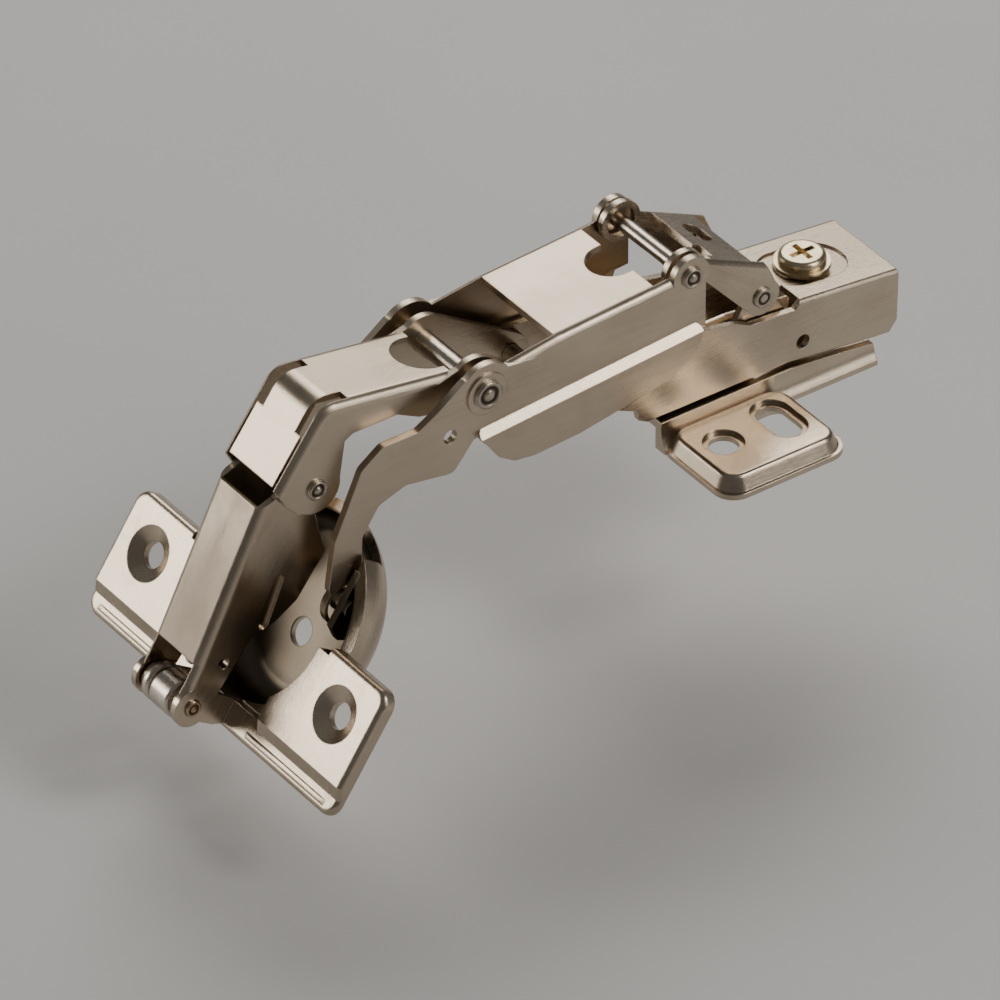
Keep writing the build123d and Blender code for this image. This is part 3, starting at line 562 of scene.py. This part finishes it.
# Pivots in millimetres as (x, z)
ARM_LINK = (-7.5, 19.8)
TOP_LINK = (7.0, 30.4)
ARM_LEVER = (28.2, 16.4)
SCISSOR = (44.0, 25.0)
LINK_FRONT = (72.0, 17.75)
CUP_FRONT = (93.36, -13.38)

# Heads that pass under another lever stay low; radii go with the pins
LOW_HEAD = 0.18
FULL_HEAD = 0.42
LINK_HEAD_RADIUS = 1.6
TOP_HEAD_RADIUS = 1.7
LEVER_HEAD_RADIUS = 1.9
SCISSOR_HEAD_RADIUS = 2.3
CUP_HEAD_RADIUS = 1.28

peened_ends(
    "arm_pin_ends",
    both_sides("arm_link_pin", ARM_LINK, LINK_HEAD_RADIUS, LOW_HEAD)
    + both_sides("arm_lever_pin", ARM_LEVER, LEVER_HEAD_RADIUS, LOW_HEAD),
    peened_finish, "arm",
)
peened_ends(
    "top_link_pin_ends",
    both_sides("top_link_pin", TOP_LINK, TOP_HEAD_RADIUS, FULL_HEAD),
    peened_finish, "outer_lever",
)
peened_ends(
    "inner_lever_pin_ends",
    both_sides("scissor_pin", SCISSOR, SCISSOR_HEAD_RADIUS, FULL_HEAD)
    + both_sides("front_link_pin", LINK_FRONT, LINK_HEAD_RADIUS, FULL_HEAD),
    peened_finish, "inner_lever",
)
peened_ends(
    "cup_front_pin_ends",
    both_sides("cup_front_pin", CUP_FRONT, CUP_HEAD_RADIUS, LOW_HEAD),
    peened_bronze, "cup",
)
bpy.data.objects.remove(peened_template)

# Ridge on the flange's front strip, in millimetres: how far the strip lies under the face,
# the ridge's place down the flange, its section, its ends and how it runs out there
STRIP_DROP = 1.1
RIDGE_PLACE = 17.7
RIDGE_HALF_WIDTH = 0.55
RIDGE_HEIGHT = 0.16
RIDGE_SINK = 0.02
RIDGE_FACETS = 8
RIDGE_ENDS = (9.0, 29.4)
RIDGE_RUN_OUT = 1.6
SHOULDER_PLACE = 0.4
SHOULDER_SWELL = 0.6


def strip_ridges(name, finish, body):
    """Pressed ridge along both halves of the flange's front strip, running out at its ends."""
    shape = bmesh.new()
    start, end = RIDGE_ENDS
    shoulder = SHOULDER_PLACE * RIDGE_RUN_OUT
    stations = (
        (start, 0.0), (start + shoulder, SHOULDER_SWELL), (start + RIDGE_RUN_OUT, 1.0),
        (end - RIDGE_RUN_OUT, 1.0), (end - shoulder, SHOULDER_SWELL), (end, 0.0),
    )
    for hand in (1, -1):
        rows = []
        for y, swell in stations:
            row = []
            for step in range(RIDGE_FACETS + 1):
                angle = math.pi * step / RIDGE_FACETS
                along = RIDGE_PLACE - RIDGE_HALF_WIDTH * math.cos(angle)
                height = RIDGE_HEIGHT * swell * math.sin(angle) - STRIP_DROP - RIDGE_SINK
                place = CUP_CENTRE + (DOWN_FLANGE * along + OUT_OF_FACE * height) * MM
                row.append(shape.verts.new(place + Vector((0, hand * y * MM, 0))))
            rows.append(row)
        for first, second in zip(rows, rows[1:]):
            for step in range(RIDGE_FACETS):
                face = shape.faces.new((first[step], first[step + 1], second[step + 1], second[step]))
                face.smooth = True
    bmesh.ops.recalc_face_normals(shape, faces=shape.faces)
    mesh = bpy.data.meshes.new(name)
    shape.to_mesh(mesh)
    shape.free()
    mesh_piece(name, mesh, finish, body)


strip_ridges("flange_ridges", cup_finish, "cup")

# The floor clears the cup where it swings lowest
SWING_DROP = 9.4 * MM
FLOOR_HALF_WIDTH = 3.0
floor_mesh = bpy.data.meshes.new("table_top")
slab = bmesh.new()
bmesh.ops.create_grid(slab, x_segments=1, y_segments=1, size=FLOOR_HALF_WIDTH)
bmesh.ops.translate(slab, verts=slab.verts, vec=(AIM.x, AIM.y, cad_box[0][2] - SWING_DROP))
slab.to_mesh(floor_mesh)
slab.free()
floor = bpy.data.objects.new("table_top", floor_mesh)
floor.data.materials.append(floor_finish)
bpy.context.scene.collection.objects.link(floor)

# Soft boxes as name, place, width and height in metres, and power in watts
LAMP_TINT = (1.0, 0.955, 0.90)
SOFT_BOXES = (
    ("overhead", (-0.36, -0.52, 0.55), (0.52, 0.32), 2.4),
    ("door_side", (0.66, -0.56, 0.22), (0.34, 0.33), 2.2),
    ("near_fill", (-0.35, 0.50, 0.62), (0.30, 0.22), 2.2),
    ("near_low", (-0.42, 0.78, 0.30), (0.40, 0.18), 0.8),
)
for name, place, (width, height), power in SOFT_BOXES:
    lamp = bpy.data.lights.new(name, "AREA")
    lamp.shape = "RECTANGLE"
    lamp.size = width
    lamp.size_y = height
    lamp.energy = power
    lamp.color = LAMP_TINT
    soft_box = bpy.data.objects.new(name, lamp)
    soft_box.location = place
    soft_box.rotation_euler = (AIM - Vector(place)).to_track_quat("-Z", "Y").to_euler()
    bpy.context.scene.collection.objects.link(soft_box)

BACKDROP_COLOUR = (0.24, 0.235, 0.23, 1.0)
BACKDROP_STRENGTH = 0.55
world = bpy.data.worlds.new("studio")
bpy.context.scene.world = world
world.use_nodes = True
backdrop = world.node_tree.nodes["Background"]
backdrop.inputs["Color"].default_value = BACKDROP_COLOUR
backdrop.inputs["Strength"].default_value = BACKDROP_STRENGTH

azimuth = math.radians(VIEW_AZIMUTH)
elevation = math.radians(VIEW_ELEVATION)
towards = Vector((
    math.cos(azimuth) * math.cos(elevation),
    math.sin(azimuth) * math.cos(elevation),
    math.sin(elevation),
))
camera_data = bpy.data.cameras.new("camera")
camera_data.sensor_width = SENSOR
camera_data.lens = SENSOR * CAMERA_DISTANCE / FRAME_WIDTH
camera_data.clip_start = CLIP_START
camera_data.clip_end = CLIP_END
camera = bpy.data.objects.new("camera", camera_data)
camera.location = AIM + towards * CAMERA_DISTANCE
camera.rotation_euler = (-towards).to_track_quat("-Z", "Y").to_euler()
bpy.context.scene.collection.objects.link(camera)
bpy.context.scene.camera = camera
